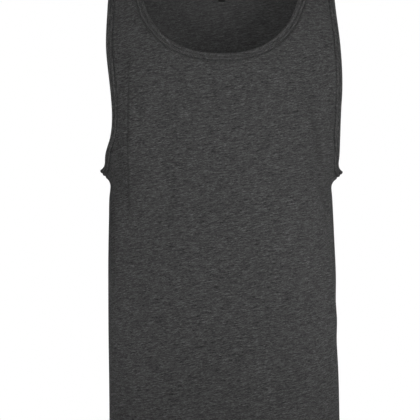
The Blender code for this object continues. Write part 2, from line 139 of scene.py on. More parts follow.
# Hem. Its runs are distances from its edge where the cloth has rows of points.
HEM_TURN = 0.022
HEM_LAYER = 0.0009  # what the turned-up layer adds inside
HEM_LAYER_END = 0.0006  # how far past the turn that layer is still felt
HEM_ROLL = (0.0001, 0.0006)  # how far the rolled edge lies inside the cloth's middle
HEM_ROWS = (0.0146, 0.0206)  # heights of the twin-needle rows above the hem
HEM_PUFF = 0.0009  # how far the hem stands proud
HEM_PUFF_STARTS = 0.0016  # where it is at full height
HEM_PUFF_ENDS = (-0.001, 0.002)  # it dies out around the end of the turn
HEM_CHANNEL = (0.0013, 0.0009)  # depth and half width of the channels that its stitches press
HEM_EDGE_RUNS = (0.0, 0.0005, 0.0013, 0.0030, 0.0060, 0.0095, 0.0120)
HEM_CHANNEL_RUNS = (-0.0012, -0.0006, 0.0, 0.0006, 0.0012)  # around each row of stitches
HEM_END_RUNS = (0.0004, 0.0008, 0.0024)  # past the turn

# Cross-section of a binding, from the flange that a panel lies on, over the outside to the
# rolled lip and back inside: distance from the lip, and distance out of the cloth. It
# sinks along both rows of stitches.
BAND_COLUMNS = ("from_lip", "out")
BAND_PROFILE = (
    (0.01560, -0.00030), (0.01500, 0.00015), (0.01445, 0.00066), (0.01405, 0.00045),
    (0.01370, -0.00015), (0.01335, -0.00090), (0.01300, -0.00130), (0.01265, -0.00135),
    (0.01235, -0.00100), (0.01210, -0.00010), (0.01185, 0.00080), (0.01145, 0.00150),
    (0.01080, 0.00195), (0.00980, 0.00210), (0.00870, 0.00200), (0.00790, 0.00150),
    (0.00745, 0.00080), (0.00710, 0.00020), (0.00680, 0.00000), (0.00650, 0.00020),
    (0.00615, 0.00085), (0.00560, 0.00160), (0.00450, 0.00215), (0.00300, 0.00232),
    (0.00160, 0.00200), (0.00065, 0.00132), (0.00018, 0.00062), (0.00000, 0.00000),
    (0.00035, -0.00080), (0.00110, -0.00125), (0.00300, -0.00145), (0.00700, -0.00150),
    (0.01080, -0.00200), (0.01270, -0.00250), (0.01400, -0.00210), (0.01520, -0.00080),
)
BAND_LIP_ROW = 27
BAND_ROWS = (0.0068, 0.0128)  # twin-needle rows, from the lip
PRESSED = 0.62  # share of its relief that a binding loses where the side seam presses it flat
PRESSED_FOR = 0.008  # and how far beside that seam
BAND_STEP = 0.0010  # between two cross-sections

# How the sewing shapes the cloth
PUFF_AT = 0.0174  # a panel stands proud past a binding, this far from the lip
PUFF_WIDE = 0.0022
PUFF_HIGH = 0.0006
PUCKER_STEPS = (0.0083, 0.0131)  # lengths of the small waves along the puff
PUCKER_HIGH = 0.00022
NEEDLE_WIDE = 0.0009  # dimples where the needles went in
NEEDLE_DEEP = 0.00045
PULL_STEPS = (0.37, 0.61, 1.3)  # stitches per radian of the waves that pull on a seam
PULL_DEEP = 0.0005

# Stitches
STITCH_STEP = 0.0031
STITCH_LONG = 0.0026
STITCH_WIDE = 0.00078
STITCH_HIGH = 0.00056
STITCH_SIDES = 7
# Where its cross-sections stand along a stitch, and their sizes, in shares of its own
STITCH_RINGS = ((-0.5, 0.25), (-0.36, 0.8), (-0.12, 1.0), (0.12, 1.0), (0.36, 0.8), (0.5, 0.25))
HEM_POINTS = 300  # of the line that each row of hem stitches follows on one panel

# Knitting: loops lie in rows, the courses, and in upright columns, the wales
COURSE = 0.00068  # height of a loop
WALE = 0.00084  # width of a loop
LOOP_LEAN = 1.5  # how steeply the legs of a loop lean, in courses per wale
FLECK_TURN = -0.17  # the courses climb to the right by this angle
DRIFT = 0.006  # how far the courses wander up and down
DRIFT_WAVES = 14.0  # per metre
ROWS_APART = 5.37  # the flecks of one row are unlike those of the next
FLECKS = ((130.0, 0.38), (300.0, 0.40))  # flecks per metre of yarn, and their share
FLECK_MOVES = (7, 0.37, 3)  # keeps the layers of flecks unlike each other
SOFT_FLECKS = (50.0, 480.0, 1.0)  # flecks per metre along and across the courses
SOFT_SHARE = 0.22
LOOP_GAP_PAINTED_SHADE = ((0.0, 0.50), (0.5, 1.04))  # painted shade: the colour is darkened in the gaps between the loops
LOOP_BUMP = 0.0002  # how far a loop stands out
FLECK_GREYS = ((0.33, 0.0085), (0.44, 0.039), (0.5, 0.0625), (0.56, 0.0865), (0.67, 0.159))
INSIDE_CONTRAST = 0.68  # the flecks are fainter on the wrong side of the jersey
BAND_TONE = 1.05  # the stretched bindings are a little paler
BAND_TURN = 0.12  # their courses run nearly along them
BAND_CLOSER = 1.9  # and their flecks look shorter
THREAD_GRAIN = 900.0
THREAD_GREYS = ((0.3, 0.030), (0.7, 0.085))
SATIN_WEAVE = (900, 4200, 1)
SATIN_GREYS = ((0.3, 0.004), (0.7, 0.013))

# Label, as long and wide as in the CAD
LABEL_WIDTH = 0.012
LABEL_LENGTH = 0.017
LABEL_WALL = 0.0005
LABEL_CLEAR = 0.0022  # it hangs this far inside the back
LABEL_POINTS = (17, 13)  # up and across

# Fineness of the surface that the outlines are drawn on
FINE_LOW = 300  # rows below the chest
FINE_ARCH = 200  # rows above it
FINE_TURN = 120  # steps round half a section
FINE_HALF = 200  # columns of half a section
CURVE_POINTS = 360
WALK_STEPS = 4  # in which a curve is moved over the surface
SMALL_STEP = 0.001
TINY = 1e-6  # places closer than this are one place

# Columns and rows of the panels
FOOT_COLUMNS = 38
STRAP_COLUMNS = 56
NECK_COLUMNS = 84
STRAP_FOOT = 0.42  # share of half the chest that a strap's columns leave free under the neck
BODY_ROWS = (72, 14)  # wide ones, and narrow ones just under the armholes
BODY_NARROW = 0.045  # share of the body's height that the narrow rows take
CHEST_NARROW = (14, 0.020)  # narrow rows of the chest under the neck, and their height
SEAM_STEPS = (0.0, 0.0007, 0.0016, 0.0030)  # first columns beside a side seam
FOOT_RISE = 0.0224  # height above the underarm where an armhole turns upwards
PANELS = {
    "front": {
        "facing": -1, "neck": NECK_FRONT, "strap_from": -0.115, "chest_rows": 44, "strap_rows": 42,
    },
    "back": {
        "facing": 1, "neck": NECK_BACK, "strap_from": -0.030, "chest_rows": 66, "strap_rows": 20,
    },
}

# Studio. Each light is a square lamp at its place, aimed at the upright line through the
# origin; spread is the angle that its light keeps to.
LOOK_AT = (-0.0206, 0.0, -0.4082)
CAMERA_AWAY = 3.0
VIEW_HEIGHT = 0.7224  # what the view takes in at the garment's middle
SENSOR = 36.0
FLOOR_HEIGHT = -1.45
FLOOR_RADIUS = 3.0
FLOOR_SIDES = 96
FLOOR_CLOUDS = 3.0
FLOOR_GREYS = ((0.3, 0.80), (0.7, 0.84))
FLOOR_GLOW = 0.55
WHITE = (1, 1, 1, 1)
DIM = 0.02  # strength of the even light from all round
LIGHT_COLUMNS = ("name", "place", "aim_height", "wide", "spread", "watts")
LIGHTS = (
    ("key", (1.24, -2.14, 0.0), -0.2, 1.2, 50, 1.8),
    ("key_high", (1.36, -2.36, 0.92), -0.2, 1.2, 50, 0.8),
    ("middle", (0.0, -2.77, 0.04), -0.2, 1.2, 40, 1.1),
    ("fill", (-1.24, -2.14, 0.0), -0.2, 1.2, 50, 1.1),
    ("fill_high", (-1.56, -2.23, 0.92), -0.2, 1.2, 50, 0.5),
    ("low", (0.0, -2.82, -1.38), -0.41, 1.2, 180, 24.0),
    ("side_right", (2.98, -0.26, -0.09), -0.41, 1.2, 180, 25.0),
    ("side_left", (-2.98, -0.26, -0.09), -0.41, 1.2, 180, 7.5),
    ("low_left", (-2.90, -0.50, -0.62), -0.60, 0.3, 12, 0.10),
    ("low_right", (2.90, -0.50, -0.56), -0.56, 0.3, 12, 0.07),
    ("back_left", (-0.55, 2.75, 0.70), -0.41, 1.2, 180, 28.0),
    ("back_right", (0.45, 2.75, 0.90), -0.41, 1.2, 180, 34.0),
)


# ---- curves and surfaces


def column(rows, names, name):
    return np.array([row[names.index(name)] for row in rows])


def by_name(rows, names):
    return [dict(zip(names, row)) for row in rows]


def through(places, values, at):
    """Reads a smooth curve through values, which stand at rising places."""
    slopes = np.gradient(values, places)
    at = np.clip(at, places[0], places[-1])
    i = np.clip(np.searchsorted(places, at) - 1, 0, len(places) - 2)
    step = places[i + 1] - places[i]
    f = (at - places[i]) / step
    start = values[i] * (1 + 2 * f) + slopes[i] * step * f
    end = values[i + 1] * (3 - 2 * f) - slopes[i + 1] * step * (1 - f)
    return start * (1 - f) ** 2 + end * f**2


def smooth(low, high, value):
    """0 below low, 1 above high, and a soft step between."""
    f = np.clip((value - low) / (high - low), 0, 1)
    return f * f * (3 - 2 * f)


def bell(value, middle, width):
    return np.exp(-(((value - middle) / width) ** 2))


def power(value, exponent):
    return np.sign(value) * np.abs(value) ** exponent


def unit(vectors):
    return vectors / np.linalg.norm(vectors, axis=-1, keepdims=True)


def lengths_along(points):
    """Distance from the first point to each point."""
    steps = np.linalg.norm(np.diff(points, axis=0), axis=1)
    return np.concatenate(([0.0], np.cumsum(steps)))


def through_rings(name, heights):
    return through(
        column(RINGS, RING_COLUMNS, "height"), column(RINGS, RING_COLUMNS, name), heights
    )


def section_depth(panel, heights):
    """Depth of the sections, which close in a round crest at the shoulders."""
    fullest = {"front": CHEST, "back": BLADES}[panel]
    rise = np.clip((heights - fullest) / (SHOULDER - fullest), 0, 1)
    return through_rings(panel, heights) * np.sqrt(1 - rise**2)


class Cloth:
    """The front or the back of the form, closed from side line to side line.

    A place on it is (across, run): across goes from -1 at the left side line to 1 at the
    right one, and run is the distance up the cloth from the hem, along the straps.
    """

    def __init__(self, panel, beside=None):
        """beside is the panel that it meets at its side lines, where one was made before."""
        self.panel = panel
        self.plan = PANELS[panel]
        self.facing = self.plan["facing"]
        low = np.linspace(HEM, CHEST, FINE_LOW, endpoint=False)
        arch = np.linspace(0, np.pi / 2, FINE_ARCH)
        self.heights = np.concatenate((low, CHEST + (SHOULDER - CHEST) * np.sin(arch)))
        self.across = np.linspace(-1, 1, 2 * FINE_HALF + 1)
        strap = STRAP_DEPTH * section_depth("front", self.heights)
        self.runs = lengths_along(np.column_stack((strap, self.heights)))
        self.top = self.runs[-1]
        self.points, self.halves = self.sections()
        self.normals = self.square_to(self.points)
        self.lift = self.folds()
        if beside is not None:
            self.lift += self.carried_over(beside)
        self.points = self.points + self.normals * self.lift[..., None]
        self.normals = self.square_to(self.points)

    def sections(self):
        """Every section as points at even distances, and its length left and right."""
        turn = np.linspace(-np.pi / 2, np.pi / 2, 2 * FINE_TURN + 1)
        wide = power(np.sin(turn), 2 / SECTION_POWER)
        deep = power(np.cos(turn), 2 / SECTION_POWER)
        left = through_rings("left", self.heights)
        right = through_rings("right", self.heights)
        depth = section_depth(self.panel, self.heights)
        points = np.empty((len(self.heights), len(self.across), 3))
        halves = np.empty((len(self.heights), 2))
        for i, height in enumerate(self.heights):
            x = np.where(turn < 0, left[i], right[i]) * wide
            y = self.facing * depth[i] * deep
            run = lengths_along(np.column_stack((x, y)))
            middle = run[FINE_TURN]
            halves[i] = middle, run[-1] - middle
            even = middle + np.where(self.across < 0, *halves[i]) * self.across
            x = np.interp(even, run, x)
            from_side = np.where(self.across < 0, even, run[-1] - even)
            above = height - np.where(self.across < 0, UNDERARM_LEFT, UNDERARM)
            rise = np.where(above > 0, BEAK_ABOVE, BEAK_BELOW)
            near = np.exp(-((from_side / BEAK_SPREAD) ** 2) - (above / rise) ** 2)
            fall = SHOULDER_SLOPE * smooth(SLOPE_FADES, SHOULDER, height)
            points[i, :, 0] = x + np.sign(x) * BEAK * near
            points[i, :, 1] = np.interp(even, run, y)
            points[i, :, 2] = height - fall * np.clip(np.abs(x) - SLOPE_FROM, 0, None)
        return points, halves

    def square_to(self, points):
        """Outward normals; level at the side lines and upright at the shoulder crest."""
        up = np.gradient(points, self.runs, axis=0)
        aside = np.gradient(points, self.across, axis=1)
        normals = -self.facing * np.cross(aside, up)
        normals[:, (0, -1), 1] = 0
        normals[-1, :, 1] = 0
        return unit(normals)

    def folds(self):
        """How far the folds lift each point of the surface."""
        from_middle = np.where(self.across < 0, self.halves[:, :1], self.halves[:, 1:])
        from_middle = from_middle * self.across
        lift = np.zeros(from_middle.shape)
        for fold in by_name(FOLDS, FOLD_COLUMNS):
            if fold["panel"] != self.panel:
                continue
            length = fold["top_height"] - fold["foot_height"]
            along = (fold["top_height"] - self.heights) / length
            lean = fold["foot_across"] - fold["top_across"]
            bow = fold["bow"] * np.sin(np.pi * np.clip(along, 0, 1))
            middle = fold["top_across"] + lean * along + bow
            runs_out = fold["foot_height"] <= HEM
            strength = smooth(0, FOLD_RISES, along)
            if not runs_out:
                strength = strength * (1 - smooth(FOLD_SINKS, 1, along))
            off = from_middle - middle[:, None]
            width = np.where(off > 0, fold["right_width"], fold["left_width"])
            crest = np.where(off > 0, fold["right_crest"], fold["left_crest"])
            lift += fold["high"] * strength[:, None] * np.exp(-(np.abs(off / width) ** crest))
        return lift

    def carried_over(self, beside):
        """The folds of the panel beside it go on over the side seams, and die out."""
        left = bell((1 + self.across) * self.halves[:, :1], 0, SEAM_CARRIES)
        right = bell((1 - self.across) * self.halves[:, 1:], 0, SEAM_CARRIES)
        return beside.lift[:, :1] * left + beside.lift[:, -1:] * right

    def read(self, grid, across, run):
        """Reads a grid of values between its rows and columns."""
        column_at = (np.clip(across, -1, 1) + 1) * FINE_HALF
        row_at = np.interp(run, self.runs, np.arange(len(self.runs)))
        j = np.clip(column_at.astype(int), 0, 2 * FINE_HALF - 1)
        i = np.clip(row_at.astype(int), 0, len(self.runs) - 2)
        g = (column_at - j)[..., None]
        f = (row_at - i)[..., None]
        low = grid[i, j] * (1 - g) + grid[i, j + 1] * g
        high = grid[i + 1, j] * (1 - g) + grid[i + 1, j + 1] * g
        return low * (1 - f) + high * f

    def normal(self, places):
        return unit(self.read(self.normals, places[..., 0], places[..., 1]))

    def place(self, places, out=0.0):
        """Points at places, moved out of the surface by a distance."""
        points = self.read(self.points, places[..., 0], places[..., 1])
        return points + self.normal(places) * np.asarray(out)[..., None]

    def half(self, across, run):
        """Length of the section from the middle to the side line."""
        left = np.interp(run, self.runs, self.halves[:, 0])
        right = np.interp(run, self.runs, self.halves[:, 1])
        return np.where(across < 0, left, right)

    def run_at(self, height):
        return np.interp(height, self.heights, self.runs)

    def across_at(self, x, run):
        """The place across where the surface has this x."""
        found = []
        for one_x, one_run in zip(x, run):
            row = self.read(self.points, self.across, np.full(self.across.shape, one_run))
            found.append(np.interp(one_x, row[:, 0], self.across))
        return np.array(found)

    def neck(self):
        """Places along the neck edge, from the left shoulder seam to the right one."""
        turn = np.linspace(-np.pi / 2, np.pi / 2, CURVE_POINTS + 1)
        half = np.where(turn < 0, NECK_LEFT, NECK_RIGHT)
        exponent = 2 / np.where(turn < 0, NECK_LEFT_POWER, NECK_RIGHT_POWER)
        x = half * power(np.sin(turn), exponent)
        run = self.run_at(SHOULDER - self.plan["neck"] * power(np.cos(turn), exponent))
        return np.column_stack((self.across_at(x, run), run))

    def armhole(self, side):
        """Places along the armhole edge, from the side line up to the shoulder seam."""
        foot = 1 - np.cos(np.linspace(0, np.pi / 2, CURVE_POINTS // 2, endpoint=False))
        lowest = UNDERARM_LEFT if side < 0 else UNDERARM
        rise = np.linspace(lowest + ARMHOLE_ROUND, SHOULDER, CURVE_POINTS // 2)
        height = np.concatenate((lowest + ARMHOLE_ROUND * foot, rise))
        q = 1 - np.clip((height - lowest) / ARMHOLE_ROUND, 0, 1)
        curve_in = (1 - q**ARMHOLE_POWER) ** (1 / ARMHOLE_POWER)
        heights = column(INSETS, INSET_COLUMNS, "height")
        inset = through(heights, column(INSETS, INSET_COLUMNS, self.panel), height) * curve_in
        run = self.run_at(height)
        ends = np.full(run.shape, float(side))
        return np.column_stack((side * (1 - inset / self.half(ends, run)), run))

    def moved(self, places, distance):
        """A curve moved over the surface, to its right for someone facing the garment."""
        along = np.gradient(self.place(places), axis=0)
        on_seam = places[:, 1] > self.top - TINY
        along[on_seam, 0] = 0
        moved = places.copy()
        for _ in range(WALK_STEPS):
            here = self.place(moved)
            aside = unit(np.cross(self.normal(moved), along)) * self.facing
            aside = aside * distance / WALK_STEPS
            inwards = np.where(moved[:, :1] > 0, -SMALL_STEP, SMALL_STEP)
            across_step = (self.place(moved + inwards * (1, 0)) - here) / inwards
            run_step = (self.place(moved - (0, SMALL_STEP)) - here) / -SMALL_STEP
            aa = (across_step**2).sum(axis=1)
            rr = (run_step**2).sum(axis=1)
            ar = (across_step * run_step).sum(axis=1)
            a = (across_step * aside).sum(axis=1)
            r = (run_step * aside).sum(axis=1)
            free = aa * rr - ar**2
            moved[:, 0] += (a * rr - r * ar) / free
            moved[:, 1] += (r * aa - a * ar) / free
            moved[:, 0] = np.clip(moved[:, 0], -1, 1)
            moved[:, 1] = np.minimum(moved[:, 1], self.top)
        moved[on_seam, 1] = self.top
        on_side = np.abs(places[:, 0]) >= 1
        moved[on_side, 0] = places[on_side, 0]
        return moved


def read_curve(cloth, places, distances):
    """Places on a curve at distances along it, in metres."""
    run = lengths_along(cloth.place(places))
    return np.column_stack([np.interp(distances, run, places[:, k]) for k in (0, 1)])


def stretches(stops, counts, first_steps=()):
    """Distances along a curve with counts[i] steps between stops, graded at its start."""
    parts = [np.linspace(a, b, n, endpoint=False) for a, b, n in zip(stops, stops[1:], counts)]
    if first_steps:
        rest = np.linspace(first_steps[-1], stops[1], counts[0] - len(first_steps) + 2)
        parts[0] = np.concatenate((first_steps[:-1], rest[:-1]))
    return np.concatenate((*parts, [stops[-1]]))


# ---- panels


def neck_samples(cloth):
    """Points along the neck edge: down a strap, round the foot of the scoop, and up."""
    places = cloth.neck()
    run = lengths_along(cloth.place(places))
    quarter = CURVE_POINTS // 4
    rows = cloth.plan["strap_rows"]
    stops = (0.0, run[quarter], run[3 * quarter], run[-1])
    return read_curve(cloth, places, stretches(stops, (rows, NECK_COLUMNS, rows)))


def armhole_samples(cloth, side):
    """Points along an armhole edge: its foot, the chest and the strap."""
    places = cloth.armhole(side)
    run = lengths_along(cloth.place(places))
    strap_from = cloth.plan["strap_from"]
    stops = [0.0]
    for height in (UNDERARM + FOOT_RISE, strap_from - CHEST_NARROW[1], strap_from):
        stops.append(run[np.searchsorted(places[:, 1], cloth.run_at(height))])
    stops.append(run[-1])
    counts = (FOOT_COLUMNS, cloth.plan["chest_rows"], CHEST_NARROW[0], cloth.plan["strap_rows"])
    return read_curve(cloth, places, stretches(stops, counts, SEAM_STEPS))


def coons(left, right, bottom, top):
    """Fills the four sides of a patch, with its rows and columns spaced as on the sides."""
    u = ((bottom[:, 0] - bottom[0, 0]) / (bottom[-1, 0] - bottom[0, 0]))[None, :, None]
    v = ((left[:, 1] - left[0, 1]) / (left[-1, 1] - left[0, 1]))[:, None, None]
    sides = left[:, None] * (1 - u) + right[:, None] * u
    ends = bottom[None] * (1 - v) + top[None] * v
    low = bottom[0] * (1 - u) + bottom[-1] * u
    high = top[0] * (1 - u) + top[-1] * u
    return sides + ends - (low * (1 - v) + high * v)


def line(start, end, steps):
    return start + (end - start) * np.linspace(0, 1, steps + 1)[:, None]


def closed(rows):
    """Rows that end where they start."""
    return np.concatenate((rows, rows[:1]))


def run_together(*curves):
    """One curve of curves that meet end to end."""
    return np.concatenate((curves[0], *(curve[1:] for curve in curves[1:])))


def hem_runs():
    """Rows of the hem: close together over its rolled edge, its stitches and its end."""
    channels = [middle + np.array(HEM_CHANNEL_RUNS) for middle in HEM_ROWS]
    return np.concatenate((HEM_EDGE_RUNS, *channels, HEM_TURN + np.array(HEM_END_RUNS)))


def panel_patches(cloth):
    """The four patches of a panel, each with its lowest row first."""
    rows = cloth.plan["strap_rows"]
    neck = cloth.moved(neck_samples(cloth), PANEL_FROM)
    holes = {}
    for side in (-1, 1):
        holes[side] = cloth.moved(armhole_samples(cloth, side), -side * PANEL_FROM)
    feet = {side: hole[: FOOT_COLUMNS + 1] for side, hole in holes.items()}
    chest = {side: hole[FOOT_COLUMNS : len(hole) - rows] for side, hole in holes.items()}
    strap = {side: hole[len(hole) - rows - 1 :] for side, hole in holes.items()}
    scoop = neck[rows : len(neck) - rows]
    left_foot, right_foot = feet[-1][-1], feet[1][-1]
    ends = (left_foot, left_foot * (STRAP_FOOT, 1), right_foot * (STRAP_FOOT, 1), right_foot)
    counts = (STRAP_COLUMNS, NECK_COLUMNS, STRAP_COLUMNS)
    across_chest = run_together(*(line(a, b, n) for a, b, n in zip(ends, ends[1:], counts)))
    body_top = run_together(feet[-1], across_chest, feet[1][::-1])
    left_row = line(chest[-1][-1], scoop[0], STRAP_COLUMNS)
    right_row = line(scoop[-1], chest[1][-1], STRAP_COLUMNS)
    chest_top = run_together(left_row, scoop, right_row)
    return (
        body_patch(cloth, body_top),
        coons(chest[-1], chest[1], across_chest, chest_top),
        strap_patch(strap[-1], neck[rows::-1], left_row),
        strap_patch(neck[len(neck) - rows - 1 :], strap[1], right_row),
    )


def body_patch(cloth, top):
    """Rows from the hem up to the armholes, with narrow columns along the side seams."""
    hem_rows = hem_runs()
    count = len(top)
    halves = cloth.halves[0]
    left = np.array(SEAM_STEPS) / halves[0] - 1
    right = 1 - np.array(SEAM_STEPS)[::-1] / halves[1]
    start, end = top[len(SEAM_STEPS) - 1, 0], top[-len(SEAM_STEPS), 0]
    spread = (top[len(SEAM_STEPS) : -len(SEAM_STEPS), 0] - start) / (end - start)
    across = np.concatenate((left, left[-1] + (right[0] - left[-1]) * spread, right))
    bottom = np.column_stack((across, np.zeros(count)))
    wide = np.linspace(0, 1 - BODY_NARROW, BODY_ROWS[0] + 1)[1:]
    narrow = np.linspace(1 - BODY_NARROW, 1, BODY_ROWS[1] + 1)[1:]
    above = np.concatenate((wide, narrow))[:, None, None]
    hem_top = bottom + (0, hem_rows[-1])
    hem = np.stack([bottom + (0, run) for run in hem_rows])
    return np.concatenate((hem, hem_top * (1 - above) + top * above))


def strap_patch(left, right, bottom):
    return coons(left, right, bottom, line(left[-1], right[-1], STRAP_COLUMNS))


def join_patches(body, chest, strap_left, strap_right):
    """One list of places and faces. Each patch shares its lowest row with the one below."""
    count = body.shape[1]
    numbers = np.arange(body.size // 2).reshape(-1, count)
    shared_row = numbers[-1, FOOT_COLUMNS : count - FOOT_COLUMNS]
    chest_numbers = stacked(shared_row, chest, numbers.max() + 1)
    left = stacked(chest_numbers[-1, : STRAP_COLUMNS + 1], strap_left, chest_numbers.max() + 1)
    right = stacked(chest_numbers[-1, -STRAP_COLUMNS - 1 :], strap_right, left.max() + 1)
    upper = [patch[1:].reshape(-1, 2) for patch in (chest, strap_left, strap_right)]
    faces = np.concatenate([grid_faces(grid) for grid in (numbers, chest_numbers, left, right)])
    return np.concatenate((body.reshape(-1, 2), *upper)), faces


def stacked(shared_row, patch, first_number):
    """Numbers of a patch's points; its lowest row has numbers already."""
    rows, columns = patch.shape[:2]
    above = first_number + np.arange((rows - 1) * columns).reshape(rows - 1, columns)
    return np.vstack((shared_row, above))


def grid_faces(numbers):
    corners = (numbers[:-1, :-1], numbers[:-1, 1:], numbers[1:, 1:], numbers[1:, :-1])
    return np.stack(corners, axis=-1).reshape(-1, 4)


def rim_faces(faces, count):
    """Faces that close the wall between two skins of count points each."""
    a = faces.ravel()
    b = np.roll(faces, -1, axis=1).ravel()
    edges = set(zip(a.tolist(), b.tolist()))
    rim = [(b, a, count + a, count + b) for a, b in sorted(edges) if (b, a) not in edges]
    return np.array(rim)


def two_skins(cloth, places, outs, faces, uv):
    """Points, faces and uv of a sheet whose two skins lie at their distances out."""
    count = len(places)
    points = np.concatenate([cloth.place(places, out) for out in outs])
    skins = np.concatenate((faces, count + faces[:, ::-1], rim_faces(faces, count)))
    return points, skins, np.concatenate((uv, uv))


def add_object(name, data):
    added = bpy.data.objects.new(name, data)
    bpy.context.collection.objects.link(added)
    return added


def make_piece(name, points, faces, uv, material, nodes):
    """A smooth mesh piece that rides on the garment. uv has a pair for each point."""
    mesh = bpy.data.meshes.new(name)
    mesh.from_pydata(points.tolist(), [], faces.tolist())
    layer = mesh.uv_layers.new(name="cloth")
    corners = np.empty(len(mesh.loops), dtype=np.int32)
    mesh.loops.foreach_get("vertex_index", corners)
    layer.data.foreach_set("uv", uv[corners].ravel())
    mesh.materials.append(material)
    mesh.shade_smooth()
    mesh.update()
    piece = add_object(name, mesh)
    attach(piece, "root")
    if nodes:
        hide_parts(*nodes)
    return piece


def declare_panel(cloth):
    """Works out the line of a panel's hem, and does nothing more with it."""
    hem_line = cloth.place(np.column_stack((cloth.across, np.zeros(len(cloth.across)))))


def make_panel(cloth, outside, inside):
    """A panel: two skins of jersey, drawn in along its seams, with a stitched hem."""
    places, faces = join_patches(*panel_patches(cloth))
    across, run = places[:, 0], places[:, 1]
    half = cloth.half(across, run)
    from_side = (1 - np.abs(across)) * half
    from_top = cloth.top - run
    dip = SEAM_DIP * (bell(from_side, 0, SEAM_SOFT) + bell(from_top, 0, SEAM_SOFT))
    middle = cloth.place(places)
    relief = puff_beside_bindings(cloth, middle)
    outer = SKIN - dip + hem_relief(run) + relief
    inner = SKIN + dip + np.where(run < HEM_TURN + HEM_LAYER_END, HEM_LAYER, 0) - relief
    edge = run <= 0
    outer[edge], inner[edge] = -HEM_ROLL[0], HEM_ROLL[1]
    uv = np.column_stack((-cloth.facing * across * half, run))
    points, skins, uv = two_skins(cloth, places, (outer, -inner), faces, uv)
    if cloth.facing > 0:
        skins = skins[:, ::-1]
    name, nodes = f"jersey_{cloth.panel}", (f"{cloth.panel}_panel",)
    piece = make_piece(name, points, skins, uv, outside, nodes)
    piece.data.materials.append(inside)
    sides = np.zeros(len(skins), dtype=np.int32)
    sides[len(faces) : 2 * len(faces)] = 1
    piece.data.polygons.foreach_set("material_index", sides)
    declare_panel(cloth)


def puff_beside_bindings(cloth, points):
    """The cloth stands proud beside its bindings, in small uneven waves."""
    lips = [cloth.place(edge) for edge in (cloth.neck(), cloth.armhole(-1), cloth.armhole(1))]
    runs = np.concatenate([lengths_along(lip) for lip in lips])
    lips = np.concatenate(lips)
    tree = KDTree(len(lips))
    for number, lip in enumerate(lips):
        tree.insert(lip, number)
    tree.balance()
    nearest = [tree.find(point)[1:] for point in points]
    number, away = (np.array(values) for values in zip(*nearest))
    waves = sum(np.sin(2 * np.pi * runs[number] / step) for step in PUCKER_STEPS) / 2
    return (PUFF_HIGH + PUCKER_HIGH * waves) * bell(away, PUFF_AT, PUFF_WIDE)


def hem_relief(run):
    """The hem stands proud between its edge and its stitches, which press it down."""
    low, high = (HEM_TURN + end for end in HEM_PUFF_ENDS)
    puff = HEM_PUFF * smooth(0, HEM_PUFF_STARTS, run) * (1 - smooth(low, high, run))
    for middle in HEM_ROWS:
        puff = puff - HEM_CHANNEL[0] * bell(run, middle, HEM_CHANNEL[1])
    return puff


# ---- bindings and stitches


def band_stretches(clothes, curve, turn):
    """The stretches of a binding: its cloth, its lip in even steps, its turn, its order."""
    found = []
    for cloth in clothes:
        places = curve(cloth)
        length = lengths_along(cloth.place(places))[-1]
        steps = int(round(length / BAND_STEP))
        lip = read_curve(cloth, places, np.linspace(0, length, steps + 1))
        found.append((cloth, lip, turn, cloth.facing > 0))
    return found


def joined(stretch_list, values):
    """What values gives for each stretch, in one run all round that stops before its start."""
    runs = []
    for cloth, lip, turn, backwards in stretch_list:
        part = values(cloth, lip, turn)
        runs.append(part[::-1] if backwards else part)
    return np.concatenate((runs[0], runs[1][1:-1]))


def in_stitches(loop):
    """Places of a closed line's points, counted in stitches, and the count all round."""
    run = lengths_along(loop)
    count = int(round(run[-1] / STITCH_STEP))
    return run / run[-1] * count, count


def lip_turns(stretch_list):
    lips = joined(stretch_list, lambda cloth, lip, turn: cloth.place(lip))
    return in_stitches(closed(lips))


def raised(cloth, places, out):
    """Points moved out of the cloth at places, each with the normal there."""
    return np.concatenate((cloth.place(places, out), cloth.normal(places)), axis=1)


def band_fullness(cloth, lip):
    """Share of its relief that a binding has along a lip: less where it crosses a side seam."""
    from_side = (1 - np.abs(lip[:, 0])) * cloth.half(lip[:, 0], lip[:, 1])
    return 1 - PRESSED * bell(from_side, 0, PRESSED_FOR)


def band_rims(cloth, lip, turn):
    """Cross-sections of a binding along one stretch. turn is the side its cloth is on."""
    rims = []
    fullness = band_fullness(cloth, lip)
    for profile in by_name(BAND_PROFILE, BAND_COLUMNS):
        places = cloth.moved(lip, turn * profile["from_lip"])
        rims.append(raised(cloth, places, fullness * profile["out"]))
    return np.stack(rims, axis=1)


def make_band(name, stretch_list, material, node):
    """A closed band of cloth, with a dimple wherever a needle went in."""
    rims = joined(stretch_list, band_rims)
    count, size = rims.shape[:2]
    from_lip = column(BAND_PROFILE, BAND_COLUMNS, "from_lip")
    outside = np.arange(size) < BAND_LIP_ROW
    rows = outside * sum(bell(from_lip, row, NEEDLE_WIDE) for row in BAND_ROWS)
    turns = lip_turns(stretch_list)[0][:-1]
    holes = (0.5 + 0.5 * np.cos(2 * np.pi * turns)) ** 2
    pulls = sum(np.sin(turns / step) for step in PULL_STEPS) / len(PULL_STEPS)
    dimples = (NEEDLE_DEEP * holes + PULL_DEEP * pulls)[:, None] * rows
    points = (rims[..., :3] - rims[..., 3:] * dimples[..., None]).reshape(-1, 3)
    numbers = closed(np.arange(count * size).reshape(count, size))
    faces = grid_faces(closed(numbers.T).T)
    along = lengths_along(rims[:, BAND_LIP_ROW, :3])
    around = lengths_along(rims[0, :, :3])
    uv = np.stack(np.meshgrid(around, along), axis=-1)[..., ::-1].reshape(-1, 2)
    if signed_volume(points, faces) < 0:
        faces = faces[:, ::-1]
    band = make_piece(name, points, faces, uv, material, (node,))


def signed_volume(points, faces):
    a, b, c, d = (points[faces[:, k]] for k in range(4))
    return (np.cross(b - a, c - a) * a).sum() + (np.cross(c - a, d - a) * a).sum()


